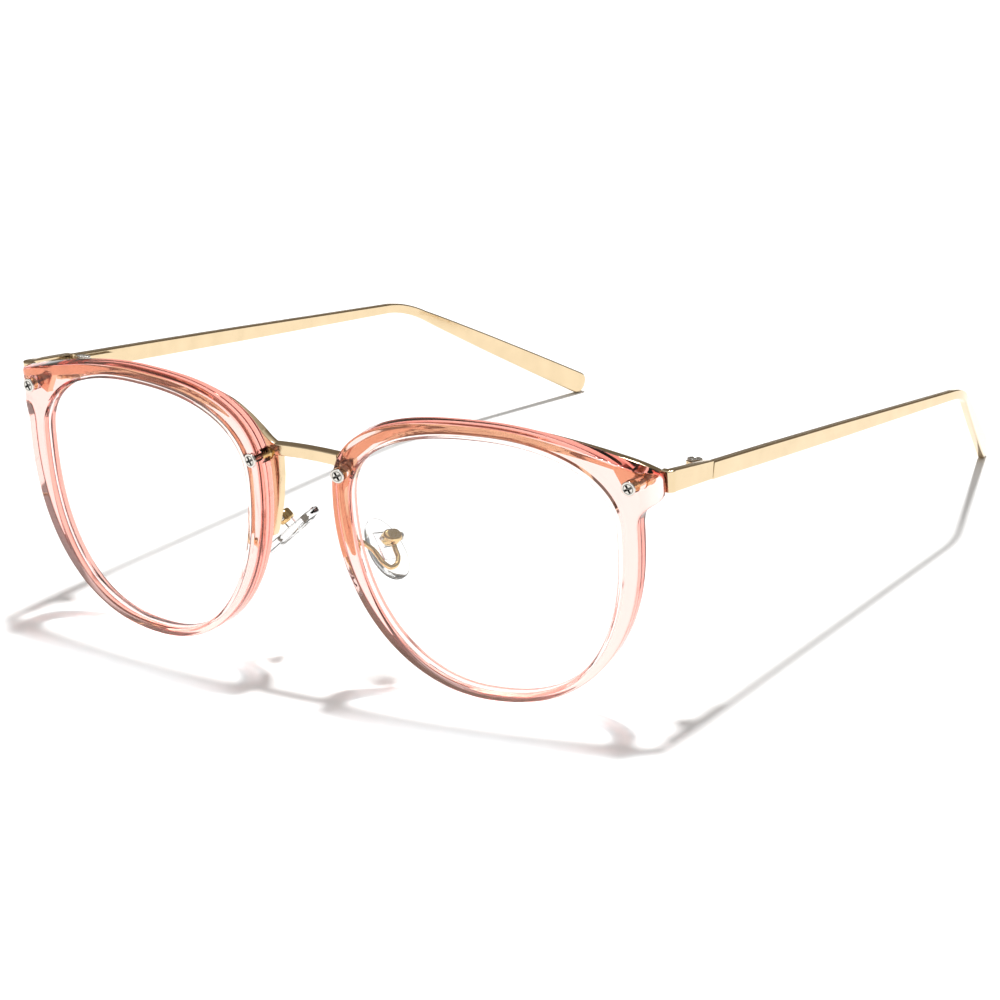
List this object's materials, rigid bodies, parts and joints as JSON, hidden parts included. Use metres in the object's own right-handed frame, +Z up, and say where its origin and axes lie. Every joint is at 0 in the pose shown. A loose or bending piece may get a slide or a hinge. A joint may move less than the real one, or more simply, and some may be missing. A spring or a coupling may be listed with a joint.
{
  "type": "blue light glasses",
  "caption": "Full-rim spectacles with clear blush plastic rims over a thin gold metal chassis, flat clear lenses, folding metal temples and rocking nose pads.",
  "frame": {"origin": "on the table plane, under the middle of the whole, with the temples open", "axes": "+X toward the wearer's left, +Y back along the temples toward the wearer, +Z up; the lenses face -Y"},
  "size_m": [0.1368, 0.1686, 0.0502],
  "materials": {
    "pink_plastic": "clear polished acetate with a blush tint",
    "clear_lens": "flat polished lens",
    "gold": "polished pale gold plating",
    "steel": "plain bright steel screws",
    "silicone": "clear soft silicone",
    "hard_clear": "clear moulded insert"
  },
  "bodies": {
    "front": {"bridge_bar": "gold", "rim_left": "pink_plastic", "lens_left": "clear_lens", "brow_bar_left": "gold", "rim_boss_outer_left": "gold", "rim_screw_outer_left": "steel", "rim_boss_nasal_left": "gold", "rim_screw_nasal_left": "steel", "end_piece_left": "gold", "hinge_front_left": "gold", "hinge_screw_left": "steel", "pad_arm_left": "gold", "pad_box_left": "gold", "pad_screw_left": "gold", "rim_right": "pink_plastic", "lens_right": "clear_lens", "brow_bar_right": "gold", "rim_boss_outer_right": "gold", "rim_screw_outer_right": "steel", "rim_boss_nasal_right": "gold", "rim_screw_nasal_right": "steel", "end_piece_right": "gold", "hinge_front_right": "gold", "hinge_screw_right": "steel", "pad_arm_right": "gold", "pad_box_right": "gold", "pad_screw_right": "gold"},
    "temple_left_body": {"temple_left": "gold", "hinge_temple_left": "gold"},
    "temple_right_body": {"temple_right": "gold", "hinge_temple_right": "gold"},
    "pad_left_body": {"nose_pad_left": "silicone", "pad_core_left": "hard_clear"},
    "pad_right_body": {"nose_pad_right": "silicone", "pad_core_right": "hard_clear"}
  },
  "joints": [
    {"name": "temple_fold_left", "type": "hinge", "parent": "front", "child": "temple_left_body", "pos_m": [0.0647, -0.0584, 0.04095], "axis": [0, 0.1409, 0.99], "range_deg": [0, 87]},
    {"name": "temple_fold_right", "type": "hinge", "parent": "front", "child": "temple_right_body", "pos_m": [-0.0647, -0.0584, 0.04095], "axis": [0, -0.1409, -0.99], "range_deg": [0, 81]},
    {"name": "pad_rock_left", "type": "hinge", "parent": "front", "child": "pad_left_body", "pos_m": [0.01138, -0.07129, 0.02403], "axis": [0.3429, 0.9318, -0.1187], "range_deg": [-7, 7]},
    {"name": "pad_rock_right", "type": "hinge", "parent": "front", "child": "pad_right_body", "pos_m": [-0.01138, -0.07129, 0.02403], "axis": [0.3429, -0.9318, 0.1187], "range_deg": [-7, 7]}
  ]
}
